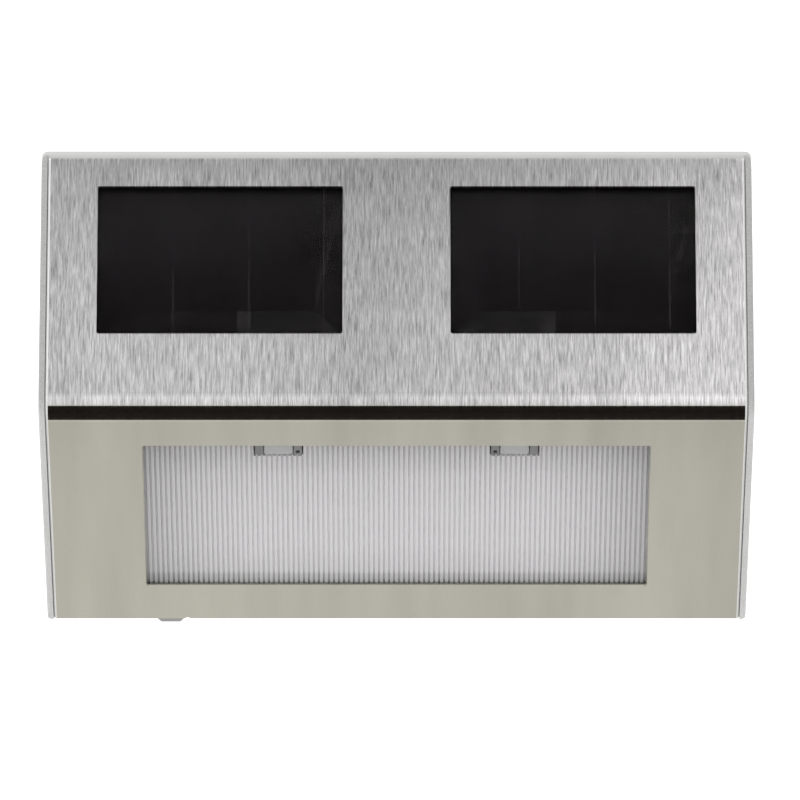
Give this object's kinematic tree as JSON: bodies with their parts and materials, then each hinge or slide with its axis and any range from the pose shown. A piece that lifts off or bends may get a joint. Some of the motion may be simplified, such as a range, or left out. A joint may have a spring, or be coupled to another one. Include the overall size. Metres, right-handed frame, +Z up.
{
  "type": "solar fence light",
  "caption": "Wedge-shaped solar fence light: folded steel face on a moulded housing, two solar panels above the fold, ribbed clear lens below it, keyhole-hung flat back",
  "frame": {"origin": "centre of the flat back, where it lies on the wall", "axes": "+X right along the longest side, +Y into the wall (the back's outward normal), +Z up; the face looks along -Y"},
  "size_m": [0.14, 0.0394, 0.0972],
  "materials": {
    "housing_grey": "satin",
    "steel": "brushed",
    "clear_glass": "polished",
    "cell_film": "gloss",
    "clear_plastic": "polished",
    "foam_black": "matte",
    "foam_white": "matte",
    "tray_white": "satin",
    "clip_dark": "satin",
    "led_clear": "polished",
    "tinned_wire": "polished",
    "board_green": "satin",
    "screw_steel": "polished",
    "spring_steel": "polished",
    "cell_can": "satin",
    "cell_wrap": "gloss",
    "door_grey": "satin",
    "chip_black": "matte",
    "coil_dark": "satin",
    "capacitor_black": "gloss",
    "base_brown": "matte",
    "knob_grey": "satin",
    "tape_grey": "matte"
  },
  "bodies": {
    "light": {"housing": "housing_grey", "face_cover": "steel", "cover_tape": "tape_grey", "solar_glass_left": "clear_glass", "solar_glass_right": "clear_glass", "solar_cells_left": "cell_film", "solar_cells_right": "cell_film", "solar_pad_left": "foam_white", "solar_pad_right": "foam_white", "lens_plate": "clear_plastic", "lens_gasket": "foam_black", "reflector": "tray_white", "clamp_screws": "screw_steel", "led_left": "led_clear", "led_right": "led_clear", "led_holder_left": "clip_dark", "led_holder_right": "clip_dark", "led_legs_left": "tinned_wire", "led_legs_right": "tinned_wire", "led_board": "board_green", "rear_cover": "housing_grey", "rear_seal": "foam_black", "rear_screws": "screw_steel", "battery_cell": "cell_can", "battery_sleeve": "cell_wrap", "contact_positive": "spring_steel", "contact_negative": "spring_steel", "driver_board": "board_green", "board_screws": "screw_steel", "driver_chip": "chip_black", "boost_coil": "coil_dark", "board_capacitor": "capacitor_black", "switch_shell": "spring_steel", "switch_base": "base_brown", "switch_pins": "tinned_wire"},
    "switch": {"switch_knob": "knob_grey", "switch_lever": "chip_black"},
    "door": {"battery_door": "door_grey", "door_screw": "screw_steel"}
  },
  "joints": [
    {"name": "switch_slide", "type": "slide", "parent": "light", "child": "switch", "axis": [1, 0, 0], "range_m": [0, 0.002]},
    {"name": "door_lift", "type": "slide", "parent": "light", "child": "door", "axis": [0, 1, 0], "range_m": [0, 0.02]}
  ]
}
